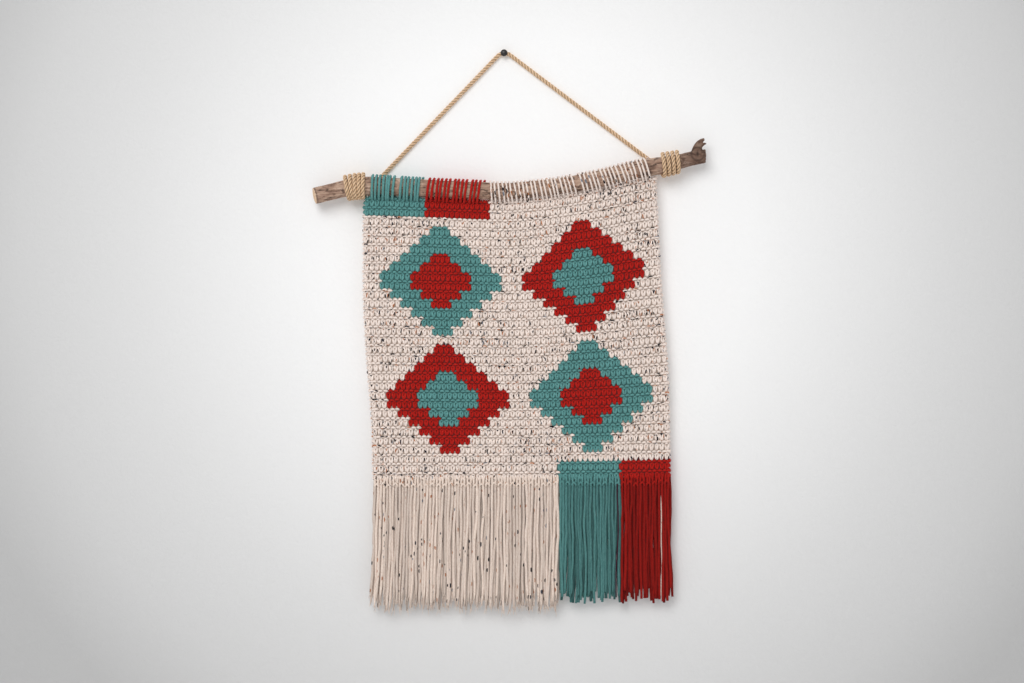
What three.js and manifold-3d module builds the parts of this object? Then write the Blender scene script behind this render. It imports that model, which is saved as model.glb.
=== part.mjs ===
// A crocheted wall hanging: a panel lashed to a driftwood branch, with a knotted fringe,
// hung by a jute rope from a pin. Millimetres, +Z up. The wall is the plane y = 0, the
// hanging faces -Y, and the origin is on the wall where the pin enters it.
import * as THREE from 'three';
import { mergeVertices } from 'three/addons/utils/BufferGeometryUtils.js';
import Module from 'manifold-3d';

const wasm = await Module();
wasm.setup();

const { lerp } = THREE.MathUtils;

// Driving dimensions
const CLEAR = 0.3;
const HANG_Y = -21;

// The pin: a round-headed nail that goes through the rope
const PIN_SHANK_RADIUS = 1.2;
const PIN_HEAD_RADIUS = 4.6;
const PIN_HEAD_BACK = -6.3;
const PIN_HEAD_FRONT = -10.4;
const PIN_SIDES = 16;
const PIN_CROWN = [0.55, 0.85, 1];
const PIN_CROWN_ROUND = 0.9;

// The branch, one row for each station along it
const BRANCH = [
  { x: -246.6, z: -188.1, radius: 10.6 },
  { x: -226.2, z: -183.2, radius: 10.7 },
  { x: -208.0, z: -178.6, radius: 10.9 },
  { x: -196.0, z: -176.2, radius: 11.4 },
  { x: -176.8, z: -175.1, radius: 12.0 },
  { x: -154.7, z: -175.5, radius: 11.6 },
  { x: -122.2, z: -177.1, radius: 11.2 },
  { x: -88.4, z: -178.7, radius: 11.0 },
  { x: -49.4, z: -180.3, radius: 11.0 },
  { x: -18.2, z: -181.6, radius: 10.8 },
  { x: 2.6, z: -182.0, radius: 10.6 },
  { x: 28.6, z: -180.4, radius: 10.5 },
  { x: 54.6, z: -177.7, radius: 10.5 },
  { x: 80.6, z: -173.8, radius: 10.4 },
  { x: 106.6, z: -169.2, radius: 10.7 },
  { x: 132.6, z: -163.8, radius: 10.8 },
  { x: 158.6, z: -157.4, radius: 11.2 },
  { x: 184.6, z: -151.8, radius: 11.5 },
  { x: 200.0, z: -149.1, radius: 11.0 },
  { x: 217.1, z: -145.6, radius: 10.0 },
  { x: 230.1, z: -143.0, radius: 9.5 },
  { x: 244.4, z: -139.4, radius: 9.3 },
  { x: 261.8, z: -136.1, radius: 8.8 },
];
const BRANCH_SIDES = 12;
const BRANCH_STEPS = 30;
const BARK_SWELL = 0.025;
const BARK_WAVES = [
  { share: 0.6, around: 3, along: 25 },
  { share: 0.4, around: 2, along: -40 },
];
const CUT_TURN = 0.24;

// The broken twig stub near the right end, one row for each station
const STUB = [
  { x: 250.0, z: -137.0, radius: 7.4 },
  { x: 250.6, z: -129.5, radius: 6.8 },
  { x: 253.0, z: -122.8, radius: 5.5 },
  { x: 257.0, z: -118.7, radius: 5.0 },
  { x: 261.2, z: -116.9, radius: 4.6 },
];
const STUB_SIDES = 9;
const STUB_STEPS = 6;
const STUB_JAG = 2.2;
const STUB_TEETH = 5;

// The crocheted panel, worked in rows; v runs from its bottom edge to its top edge
const STITCHES = 58;
const ROWS = 62;
const PANEL_THICK = 4.6;
const PANEL_COLUMNS = 10;
const RIB_DEPTH = 0.6;
const EDGE_SCALLOP = 0.8;
const PANEL_BOTTOM_LEFT_Z = -557.4;
const PANEL_BOTTOM_RIGHT_Z = -554.2;
const PANEL_SIDES = [
  { v: 0.0, left: -169.5, right: 215.6 },
  { v: 0.22, left: -171.5, right: 213.9 },
  { v: 0.38, left: -176.5, right: 211.7 },
  { v: 0.5, left: -179.5, right: 208.0 },
  { v: 0.63, left: -181.8, right: 204.0 },
  { v: 0.78, left: -182.0, right: 200.5 },
  { v: 0.96, left: -181.8, right: 197.0 },
  { v: 1.0, left: -180.4, right: 196.3 },
];
const WAVE_LEAN = 0.2;
const PANEL_WAVES = [
  { depth: 2.0, turns: 1.2, phase: 0.15 },
  { depth: 0.9, turns: 2.7, phase: 0.55 },
];

// The lashing, one yarn for each row, spiralling around the branch and through the panel's top
const YARN_RADIUS = 1.2;
const LASH_SIDES = 3;
const LASH_STEPS = 9;
const LASH_UNEVEN = 0.5;
const HEADING_TOP = 0.6;
const HEADING_HEIGHT = 3.4;
const HEADING_THICK = 4.4;
const HEADING_STEP = 12;
const HEADING_MARGIN = 2.2;
const LASHINGS = [
  { yarn: 'teal', colour: '#6fa09b', from: -169.6, to: -106.0, turns: 13, slant: -1.6, gapAfter: 6, gap: 6 },
  { yarn: 'red', colour: '#b03030', from: -96.0, to: -25.0, turns: 13, slant: -3.6, gapAfter: 9, gap: 1 },
  { yarn: 'cream', colour: '#e2d5c9', from: -19.0, to: 189.0, turns: 38, slant: 4.0, gapAfter: 20, gap: 5 },
];

// The fringe, one yarn for each row, knotted into the panel's bottom row
const KNOT_HEIGHT = 8.0;
const KNOT_THICK = 5.6;
const KNOT_NECK = 0.7;
const STRANDS_A_KNOT = 2;
const STRAND_RADIUS = 1.2;
const STRAND_SIDES = 3;
const STRAND_STEPS = 2;
const STRAND_LAYER = 1.5;
const STRAND_SWAY = 1.6;
const STRAND_SWAY_TURNS = 0.9;
const STRAND_ROOT = 3.6;
const STRAND_TAPER = 0.2;
const OUTER_SWAY = 0.3;
const FRINGE_FLARE_LEFT = -5.0;
const FRINGE_FLARE_RIGHT = 1.5;
const FRINGES = [
  { yarn: 'cream', colour: '#dccdbf', first: 0, last: 36, tipZ: -723, uneven: 9 },
  { yarn: 'teal', colour: '#5f928e', first: 36, last: 48, tipZ: -714, uneven: 6 },
  { yarn: 'red', colour: '#a62b2c', first: 48, last: 58, tipZ: -713, uneven: 7 },
];

// The jute rope: its free stretch over the pin, and a wrap around the branch at each end
const ROPE_DIAMETER = 5.6;
const ROPE_SIDES = 8;
const ROPE_STEPS = 60;
const ROPE_ROUTE = [
  { x: -178.8, y: -6.0, z: -182.0 },
  { x: -173.4, y: -3.2, z: -175.4 },
  { x: -153.4, y: -2.9, z: -154.3 },
  { x: -116.9, y: -2.9, z: -116.4 },
  { x: -43.9, y: -2.9, z: -40.6 },
  { x: -19.1, y: -2.9, z: -14.8 },
  { x: -7.4, y: -2.9, z: -2.9 },
  { x: -0.2, y: -2.9, z: 0.4 },
  { x: 7.1, y: -2.9, z: -1.8 },
  { x: 21.5, y: -2.9, z: -12.5 },
  { x: 52.1, y: -2.9, z: -35.6 },
  { x: 142.2, y: -2.9, z: -103.5 },
  { x: 187.2, y: -2.9, z: -137.4 },
  { x: 195.5, y: -3.1, z: -143.6 },
  { x: 201.6, y: -5.6, z: -148.4 },
];
const WRAP_CLEAR = 0.8;
const WRAP_SIDES = 14;
const WRAP_ARC = [30, 90, 150];
const WRAPS = [
  { name: 'wrap_left', from: -210.6, to: -181.6, turns: 5 },
  { name: 'wrap_right', from: 204.2, to: 229.6, turns: 4 },
];

// Small tools

// A repeatable scatter between -1 and 1 for the n-th of many like things
function scatter(n) {
  const wide = Math.sin(n * 12.9898 + 4.1) * 43758.5453;
  return 2 * (wide - Math.floor(wide)) - 1;
}

// The value of one column of a table, smooth between its rows
function along(table, by, at, column) {
  const last = table.length - 2;
  let i = 0;
  while (i < last && at > table[i + 1][by]) i += 1;
  const slopeAt = (k) => {
    const a = table[Math.max(k - 1, 0)];
    const b = table[Math.min(k + 1, table.length - 1)];
    return (b[column] - a[column]) / (b[by] - a[by]);
  };
  const span = table[i + 1][by] - table[i][by];
  const s = (at - table[i][by]) / span;
  const rise = table[i + 1][column] - table[i][column];
  const bendIn = slopeAt(i) * span - rise;
  const bendOut = rise - slopeAt(i + 1) * span;
  return table[i][column] + s * rise + s * (1 - s) * ((1 - s) * bendIn + s * bendOut);
}

// A closed three.js geometry whose every point is moved by place(x, y, z)
function reshape(geometry, place) {
  geometry.deleteAttribute('normal');
  geometry.deleteAttribute('uv');
  const merged = mergeVertices(geometry, 1e-5);
  const points = merged.attributes.position;
  for (let i = 0; i < points.count; i += 1) {
    const p = place(points.getX(i), points.getY(i), points.getZ(i));
    points.setXYZ(i, p.x, p.y, p.z);
  }
  merged.computeVertexNormals();
  return merged;
}

const asIs = (x, y, z) => new THREE.Vector3(x, y, z);

function solidOf(geometry) {
  const { position } = geometry.attributes;
  const vertProperties = new Float32Array(position.array);
  const triVerts = new Uint32Array(geometry.index.array);
  return new wasm.Manifold(new wasm.Mesh({ numProp: 3, vertProperties, triVerts }));
}

function geometryOf(solid) {
  const { vertProperties, triVerts } = solid.getMesh();
  const geometry = new THREE.BufferGeometry();
  geometry.setAttribute('position', new THREE.BufferAttribute(new Float32Array(vertProperties), 3));
  geometry.setIndex(new THREE.BufferAttribute(new Uint32Array(triVerts), 1));
  geometry.computeVertexNormals();
  return geometry;
}

function joined(geometries) {
  const solids = geometries.map(solidOf);
  return geometryOf(solids.reduce((whole, piece) => whole.add(piece)));
}

// A regular section for tubes along a path
function roundSection(radius, sides) {
  const turn = (2 * Math.PI) / sides;
  const corners = Array.from({ length: sides }, (_, k) => {
    const angle = (k + 0.5) * turn;
    return new THREE.Vector2(radius * Math.cos(angle), radius * Math.sin(angle));
  });
  return new THREE.Shape(corners);
}

function tube(path, steps, radius, sides) {
  const geometry = new THREE.ExtrudeGeometry(roundSection(radius, sides), { steps, extrudePath: path });
  return reshape(geometry, asIs);
}

function mesh(name, geometry, colour, roughness, metalness = 0) {
  const material = new THREE.MeshStandardMaterial({ color: colour, roughness, metalness });
  const piece = new THREE.Mesh(geometry, material);
  piece.name = name;
  return piece;
}

// The branch's own frame at x: its centre, its direction, the way up across it and its radius
function branchAt(x) {
  const step = 1;
  const centre = new THREE.Vector3(x, HANG_Y, along(BRANCH, 'x', x, 'z'));
  const rise = along(BRANCH, 'x', x + step, 'z') - along(BRANCH, 'x', x - step, 'z');
  const direction = new THREE.Vector3(2 * step, 0, rise).normalize();
  const up = new THREE.Vector3(-direction.z, 0, direction.x);
  return { centre, direction, up, radius: along(BRANCH, 'x', x, 'radius') };
}

// The height of the bark's underside at x, with room for its swellings
function undersideZ(x) {
  const { centre, direction, radius } = branchAt(x);
  return centre.z - (radius * (1 + BARK_SWELL)) / direction.x;
}

// Branch
function branchTrunk() {
  const left = BRANCH[0].x;
  const right = BRANCH[BRANCH.length - 1].x;
  const shape = new THREE.CylinderGeometry(1, 1, 1, BRANCH_SIDES, BRANCH_STEPS);
  return reshape(shape, (x, y, z) => {
    const t = y + 0.5;
    const at = branchAt(lerp(left, right, t));
    const around = Math.atan2(z, x);
    const swell = BARK_WAVES.reduce(
      (sum, wave) => sum + wave.share * Math.sin(wave.around * around + wave.along * t),
      0,
    );
    const reach = at.radius * (1 + BARK_SWELL * swell);
    const point = at.centre.clone().addScaledVector(at.up, reach * x);
    point.y += reach * z;
    const cut = t === 0 ? -CUT_TURN * reach * z : 0;
    return point.addScaledVector(at.direction, cut);
  });
}

function branchStub() {
  const path = new THREE.CatmullRomCurve3(STUB.map((row) => new THREE.Vector3(row.x, HANG_Y, row.z)));
  const shape = new THREE.CylinderGeometry(1, 1, 1, STUB_SIDES, STUB_STEPS);
  return reshape(shape, (x, y, z) => {
    const t = y + 0.5;
    const centre = path.getPoint(t);
    const direction = path.getTangent(t);
    const across = new THREE.Vector3(-direction.z, 0, direction.x);
    const station = t * (STUB.length - 1);
    const row = STUB[Math.floor(station)];
    const next = STUB[Math.min(Math.floor(station) + 1, STUB.length - 1)];
    const radius = lerp(row.radius, next.radius, station % 1);
    centre.addScaledVector(across, radius * x);
    centre.y += radius * z;
    const jag = t === 1 ? STUB_JAG * Math.sin(STUB_TEETH * Math.atan2(z, x)) * Math.hypot(x, z) : 0;
    return centre.addScaledVector(direction, jag);
  });
}

function makeBranch() {
  return mesh('branch', joined([branchTrunk(), branchStub()]), '#8c7464', 0.85);
}

// Panel
function panelX(u, v) {
  return lerp(along(PANEL_SIDES, 'v', v, 'left'), along(PANEL_SIDES, 'v', v, 'right'), u);
}

function panelZ(u, v) {
  const top = undersideZ(panelX(u, 1)) - HEADING_TOP - HEADING_HEIGHT - 2 * CLEAR;
  const bottom = lerp(PANEL_BOTTOM_LEFT_Z, PANEL_BOTTOM_RIGHT_Z, u);
  return lerp(bottom, top, v);
}

// The cloth's middle plane: still at the branch, waving more towards the bottom
function panelY(u, v) {
  const wave = PANEL_WAVES.reduce(
    (sum, row) => sum + row.depth * Math.sin(2 * Math.PI * (row.turns * u + row.phase + WAVE_LEAN * v)),
    0,
  );
  return HANG_Y + wave * (1 - v);
}

function makePanel() {
  const shape = new THREE.BoxGeometry(1, 1, 1, PANEL_COLUMNS, ROWS, 1);
  const geometry = reshape(shape, (x, y, z) => {
    const u = x + 0.5;
    const v = y + 0.5;
    const row = Math.round(v * ROWS);
    const side = Math.sign(z);
    const valley = (row + (side > 0 ? 0 : 1)) % 2;
    const depth = PANEL_THICK / 2 - RIB_DEPTH * valley;
    const inset = (row % 2) * EDGE_SCALLOP * Math.sign(u - 0.5) * (Math.abs(x) === 0.5 ? 1 : 0);
    return new THREE.Vector3(panelX(u, v) - inset, panelY(u, v) - side * depth, panelZ(u, v));
  });
  return mesh('panel', geometry, '#e2d5c9', 0.95);
}

// Lashing
class Spiral extends THREE.Curve {
  constructor(row) {
    super();
    this.row = row;
  }

  // Where the k-th wrap crosses the top of the branch
  topX(k) {
    const { from, to, turns, gapAfter, gap } = this.row;
    const even = lerp(from, to - gap, k / turns);
    return even + (k > gapAfter ? gap : 0) + LASH_UNEVEN * scatter(k + from);
  }

  getPoint(t) {
    const { turns, slant } = this.row;
    const k = Math.min(Math.floor(t * turns), turns - 1);
    const part = t * turns - k;
    const low = this.topX(k) + slant;
    const x = part < 0.5 ? lerp(this.topX(k), low, 2 * part) : lerp(low, this.topX(k + 1), 2 * part - 1);
    const at = branchAt(x);
    const seat = at.radius * (1 + BARK_SWELL) + CLEAR + YARN_RADIUS;
    const reach = seat / Math.cos(Math.PI / LASH_STEPS);
    const angle = 2 * Math.PI * part;
    const point = at.centre.addScaledVector(at.up, reach * Math.cos(angle));
    point.y -= reach * Math.sin(angle);
    return point;
  }
}

// The looped edge row that the lashing holds: a narrow strip under the branch
function headingStrip(row) {
  const from = row.from + Math.min(row.slant, 0) - HEADING_MARGIN;
  const to = row.to + Math.max(row.slant, 0) + HEADING_MARGIN;
  const shape = new THREE.BoxGeometry(1, 1, 1, Math.ceil((to - from) / HEADING_STEP), 1, 1);
  return reshape(shape, (x, y, z) => {
    const at = lerp(from, to, x + 0.5);
    const height = undersideZ(at) - HEADING_TOP - (0.5 - y) * HEADING_HEIGHT;
    return new THREE.Vector3(at, HANG_Y - z * HEADING_THICK, height);
  });
}

function makeLashing(row) {
  const spiral = tube(new Spiral(row), row.turns * LASH_STEPS, YARN_RADIUS, LASH_SIDES);
  return mesh(`lashing_${row.yarn}`, joined([headingStrip(row), spiral]), row.colour, 0.95);
}

// Fringe

// The row of knots: one swelling and one neck for each stitch
function knotStrip(row) {
  const knots = row.last - row.first;
  const shape = new THREE.BoxGeometry(1, 1, 1, 2 * knots, 1, 1);
  const parting = CLEAR / (panelX(1, 0) - panelX(0, 0)) / 2;
  return reshape(shape, (x, y, z) => {
    const station = Math.round((x + 0.5) * 2 * knots);
    const u = lerp(row.first / STITCHES + parting, row.last / STITCHES - parting, x + 0.5);
    const swell = station % 2 ? 1 : KNOT_NECK;
    const drop = CLEAR + (0.5 - y) * KNOT_HEIGHT * swell;
    const depth = z * KNOT_THICK * swell;
    return new THREE.Vector3(panelX(u, 0), panelY(u, 0) - depth, panelZ(u, 0) - drop);
  });
}

function strand(row, n) {
  const count = (row.last - row.first) * STRANDS_A_KNOT;
  const u = (row.first + (n + 0.5) / STRANDS_A_KNOT) / STITCHES;
  const seed = row.first * STRANDS_A_KNOT + n;
  const layer = n % 2 ? STRAND_LAYER : -STRAND_LAYER;
  const rootX = panelX(u, 0);
  const rootZ = panelZ(u, 0) - CLEAR - STRAND_ROOT;
  const tipZ = row.tipZ + row.uneven * scatter(seed);
  const atEdge = n === 0 || n === count - 1;
  const sway = STRAND_SWAY * scatter(seed + 300) * (atEdge ? OUTER_SWAY : 1);
  const flare = lerp(FRINGE_FLARE_LEFT, FRINGE_FLARE_RIGHT, u);
  const shape = new THREE.CylinderGeometry(1, 1, 1, STRAND_SIDES, STRAND_STEPS);
  return reshape(shape, (x, y, z) => {
    const s = 0.5 - y;
    const radius = STRAND_RADIUS * (1 - STRAND_TAPER * s);
    const middle = rootX + flare * s + sway * Math.sin(Math.PI * STRAND_SWAY_TURNS * s);
    return new THREE.Vector3(middle + radius * x, panelY(u, 0) + layer - radius * z, lerp(rootZ, tipZ, s));
  });
}

function makeFringe(row) {
  const count = (row.last - row.first) * STRANDS_A_KNOT;
  const strands = Array.from({ length: count }, (_, n) => strand(row, n));
  return mesh(`fringe_${row.yarn}`, joined([knotStrip(row), ...strands]), row.colour, 0.95);
}

// Rope
function makeHanger() {
  const path = new THREE.CatmullRomCurve3(ROPE_ROUTE.map((p) => new THREE.Vector3(p.x, p.y, p.z)));
  const rope = solidOf(tube(path, ROPE_STEPS, ROPE_DIAMETER / 2, ROPE_SIDES));
  const hole = new THREE.CylinderGeometry(
    PIN_SHANK_RADIUS + CLEAR,
    PIN_SHANK_RADIUS + CLEAR,
    3 * ROPE_DIAMETER,
    PIN_SIDES,
  );
  return mesh('hanger_cord', geometryOf(rope.subtract(solidOf(reshape(hole, asIs)))), '#d9b88f', 0.9);
}

// A wrap is a ring of touching turns around the branch, with a groove between two turns
function wrapSection(row, bore, width) {
  const half = width / row.turns / 2;
  const corners = [];
  for (let k = 0; k < row.turns; k += 1) {
    const middle = (2 * k + 1) * half - width / 2;
    for (const angle of WRAP_ARC) {
      const a = THREE.MathUtils.degToRad(angle);
      const out = bore + (ROPE_DIAMETER / 2) * (1 + Math.sin(a));
      corners.push(new THREE.Vector2(out, middle - half * Math.cos(a)));
    }
    if (k < row.turns - 1) corners.push(new THREE.Vector2(bore + ROPE_DIAMETER / 2, middle + half));
  }
  corners.push(new THREE.Vector2(bore, width / 2 - half / 2));
  corners.push(new THREE.Vector2(bore, half / 2 - width / 2));
  corners.push(corners[0].clone());
  return corners;
}

function makeWrap(row) {
  const at = branchAt((row.from + row.to) / 2);
  const thickest = Math.max(...[row.from, row.to].map((x) => branchAt(x).radius));
  const bore = thickest * (1 + BARK_SWELL) + WRAP_CLEAR;
  const section = wrapSection(row, bore, (row.to - row.from) / at.direction.x);
  const geometry = reshape(new THREE.LatheGeometry(section, WRAP_SIDES), (x, y, z) => {
    const point = at.centre.clone().addScaledVector(at.up, x);
    point.y += z;
    return point.addScaledVector(at.direction, y);
  });
  return mesh(row.name, geometry, '#d9b88f', 0.9);
}

// Pin
function makePin() {
  const profile = [new THREE.Vector2(0, PIN_HEAD_FRONT)];
  for (const share of PIN_CROWN) {
    const out = PIN_HEAD_RADIUS * share;
    const rounding = 1 - Math.sqrt(1 - share * share * PIN_CROWN_ROUND);
    profile.push(new THREE.Vector2(out, lerp(PIN_HEAD_FRONT, PIN_HEAD_BACK, rounding)));
  }
  profile.push(new THREE.Vector2(PIN_HEAD_RADIUS * PIN_CROWN_ROUND, PIN_HEAD_BACK));
  profile.push(new THREE.Vector2(PIN_SHANK_RADIUS, PIN_HEAD_BACK));
  profile.push(new THREE.Vector2(PIN_SHANK_RADIUS, 0));
  profile.push(new THREE.Vector2(0, 0));
  const geometry = reshape(new THREE.LatheGeometry(profile, PIN_SIDES), asIs);
  return mesh('wall_pin', geometry, '#2a2426', 0.4);
}

const hanging = new THREE.Group();
hanging.add(makeBranch());
hanging.add(makePanel());
LASHINGS.forEach((row) => hanging.add(makeLashing(row)));
FRINGES.forEach((row) => hanging.add(makeFringe(row)));
hanging.add(makeHanger());
WRAPS.forEach((row) => hanging.add(makeWrap(row)));
hanging.add(makePin());

export default hanging;
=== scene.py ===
import math

import bpy
import numpy as np
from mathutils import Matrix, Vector, noise


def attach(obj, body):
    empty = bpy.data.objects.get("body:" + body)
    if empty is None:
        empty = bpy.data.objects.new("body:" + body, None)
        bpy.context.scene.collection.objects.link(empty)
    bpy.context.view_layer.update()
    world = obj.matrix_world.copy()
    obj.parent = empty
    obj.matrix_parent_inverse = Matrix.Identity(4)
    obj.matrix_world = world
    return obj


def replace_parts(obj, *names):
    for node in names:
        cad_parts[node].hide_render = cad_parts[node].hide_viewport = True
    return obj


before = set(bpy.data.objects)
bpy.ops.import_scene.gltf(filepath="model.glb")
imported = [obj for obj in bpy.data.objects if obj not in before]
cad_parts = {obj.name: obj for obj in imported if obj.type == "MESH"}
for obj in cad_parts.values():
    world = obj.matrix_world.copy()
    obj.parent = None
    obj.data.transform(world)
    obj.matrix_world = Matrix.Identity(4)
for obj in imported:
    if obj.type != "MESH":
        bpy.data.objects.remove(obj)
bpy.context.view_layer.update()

# A crocheted wall hanging in the part's frame: +Z up, the wall at y = 0, the front to -Y.
# Tables and sizes are in millimetres, and the meshes are made in metres.
MM = 0.001
FRONT = -1
BACK = 1
rng = np.random.default_rng(29)


def table(columns, *rows):
    """Short rows of numbers as one array for each named column."""
    return {name: np.array(values) for name, values in zip(columns.split(), zip(*rows))}


# Driving dimensions
HANG_Y = -21.0

BRANCH = table(
    "x z radius",
    (-246.6, -188.1, 10.6),
    (-226.2, -183.2, 10.7),
    (-208.0, -178.6, 10.9),
    (-196.0, -176.2, 11.4),
    (-176.8, -175.1, 12.0),
    (-154.7, -175.5, 11.6),
    (-122.2, -177.1, 11.2),
    (-88.4, -178.7, 11.0),
    (-49.4, -180.3, 11.0),
    (-18.2, -181.6, 10.8),
    (2.6, -182.0, 10.6),
    (28.6, -180.4, 10.5),
    (54.6, -177.7, 10.5),
    (80.6, -173.8, 10.4),
    (106.6, -169.2, 10.7),
    (132.6, -163.8, 10.8),
    (158.6, -157.4, 11.2),
    (184.6, -151.8, 11.5),
    (200.0, -149.1, 11.0),
    (217.1, -145.6, 10.0),
    (230.1, -143.0, 9.5),
    (244.4, -139.4, 9.3),
    (261.8, -136.1, 8.8),
)
STUB = table(
    "x z radius",
    (250.0, -137.0, 7.4),
    (250.6, -129.5, 6.8),
    (253.0, -122.8, 5.5),
    (257.0, -118.7, 5.0),
    (261.2, -116.9, 4.6),
)
BARK_SWELL = 0.025
CUT_TURN = 0.24
STUB_NOTCH = 3.6
NOTCH_ASIDE = -0.6
NOTCH_WIDTH = 1.2
NOTCH_REACH = 5.0
STUB_JAG = 0.9
STUB_TEETH = 5

STITCHES = 58
ROWS = 62
STITCH_WIDTH = 6.5
PANEL_BOTTOM_LEFT_Z = -557.4
PANEL_BOTTOM_RIGHT_Z = -554.2
PANEL_TOP_GAP = 0.8
PANEL_SIDES = table(
    "v left right",
    (0.0, -169.5, 215.6),
    (0.22, -171.5, 213.9),
    (0.38, -176.5, 211.7),
    (0.5, -179.5, 208.0),
    (0.63, -181.8, 204.0),
    (0.78, -182.0, 200.5),
    (0.96, -181.8, 197.0),
    (1.0, -180.4, 196.3),
)
WAVE_LEAN = 0.2
PANEL_WAVES = ((2.0, 1.2, 0.15), (0.9, 2.7, 0.55))

ROPE_DIAMETER = 5.6
ROPE_ROUTE = np.array([
    (-178.8, -6.0, -182.0),
    (-173.4, -3.2, -175.4),
    (-153.4, -2.9, -154.3),
    (-116.9, -2.9, -116.4),
    (-43.9, -2.9, -40.6),
    (-19.1, -2.9, -14.8),
    (-7.4, -2.9, -2.9),
    (-0.2, -2.9, 0.4),
    (7.1, -2.9, -1.8),
    (21.5, -2.9, -12.5),
    (52.1, -2.9, -35.6),
    (142.2, -2.9, -103.5),
    (187.2, -2.9, -137.4),
    (195.5, -3.1, -143.6),
    (201.6, -5.6, -148.4),
])


# Curves and frames
def unit(v):
    return v / np.linalg.norm(v, axis=-1, keepdims=True)


def lerp(a, b, t):
    return a + (b - a) * t


def scatter(n):
    """A repeatable scatter between -1 and 1 for the n-th of many like things."""
    wide = np.sin(n * 12.9898 + 4.1) * 43758.5453
    return 2 * (wide - np.floor(wide)) - 1


def smooth(rows, by, at, column):
    """One column of a table, smooth between its rows."""
    xs, ys = rows[by], rows[column]
    last = len(xs) - 1
    index = np.arange(last + 1)
    before, after = np.maximum(index - 1, 0), np.minimum(index + 1, last)
    slopes = (ys[after] - ys[before]) / (xs[after] - xs[before])
    i = np.clip(np.searchsorted(xs, at) - 1, 0, last - 1)
    span, rise = xs[i + 1] - xs[i], ys[i + 1] - ys[i]
    s = (at - xs[i]) / span
    bend_in = slopes[i] * span - rise
    bend_out = rise - slopes[i + 1] * span
    return ys[i] + s * rise + s * (1 - s) * ((1 - s) * bend_in + s * bend_out)


def curve_through(points, steps):
    """A smooth line through the points, with the given number of steps between two of them."""
    padded = np.concatenate([2 * points[:1] - points[1:2], points, 2 * points[-1:] - points[-2:-1]])
    t = np.linspace(0, 1, steps, endpoint=False)[:, None]
    line = []
    for a, b, c, d in zip(padded, padded[1:], padded[2:], padded[3:]):
        slope = c - a
        bend = 2 * a - 5 * b + 4 * c - d
        twist = 3 * (b - c) + d - a
        line.append(0.5 * (2 * b + slope * t + bend * t**2 + twist * t**3))
    return np.concatenate([*line, points[-1:]])


def evenly(points, step):
    """The same line with points a fixed step apart."""
    length = np.concatenate([[0], np.linalg.norm(np.diff(points, axis=0), axis=1).cumsum()])
    at = np.linspace(0, length[-1], int(length[-1] / step) + 1)
    return np.stack([np.interp(at, length, points[:, k]) for k in range(3)], -1)


def frames(points, up):
    """The direction along each path and two directions across it, for paths of (paths, rings, 3)."""
    along = unit(np.gradient(points, axis=1))
    normal = np.empty_like(points)
    current = np.broadcast_to(np.asarray(up, float), points[:, 0].shape)
    for i in range(points.shape[1]):
        lean = (current * along[:, i]).sum(-1, keepdims=True)
        current = unit(current - lean * along[:, i])
        normal[:, i] = current
    return along, normal, np.cross(along, normal)


# Meshes of many tubes
CELL_MARGIN = 0.08
CAP_SHARE = 0.4
YARN_RUN = 30000.0
LOBES = 3


def lobed(radius, along, sides, pitch, depth):
    """The radius of a yarn of three plies that turn once in each pitch."""
    turn = 2 * np.pi * np.arange(sides) / sides
    plies = np.cos(LOBES * turn - 2 * np.pi * LOBES * along[..., None] / pitch)
    return np.asarray(radius)[..., None] * (1 + depth * plies)


def run_along(points):
    steps = np.linalg.norm(np.diff(points, axis=1), axis=-1)
    return np.concatenate([np.zeros((len(points), 1)), steps.cumsum(1)], 1)


def spread(values, shape):
    """The values repeated to that shape, in one row."""
    return np.broadcast_to(values, shape).reshape(-1)


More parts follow.
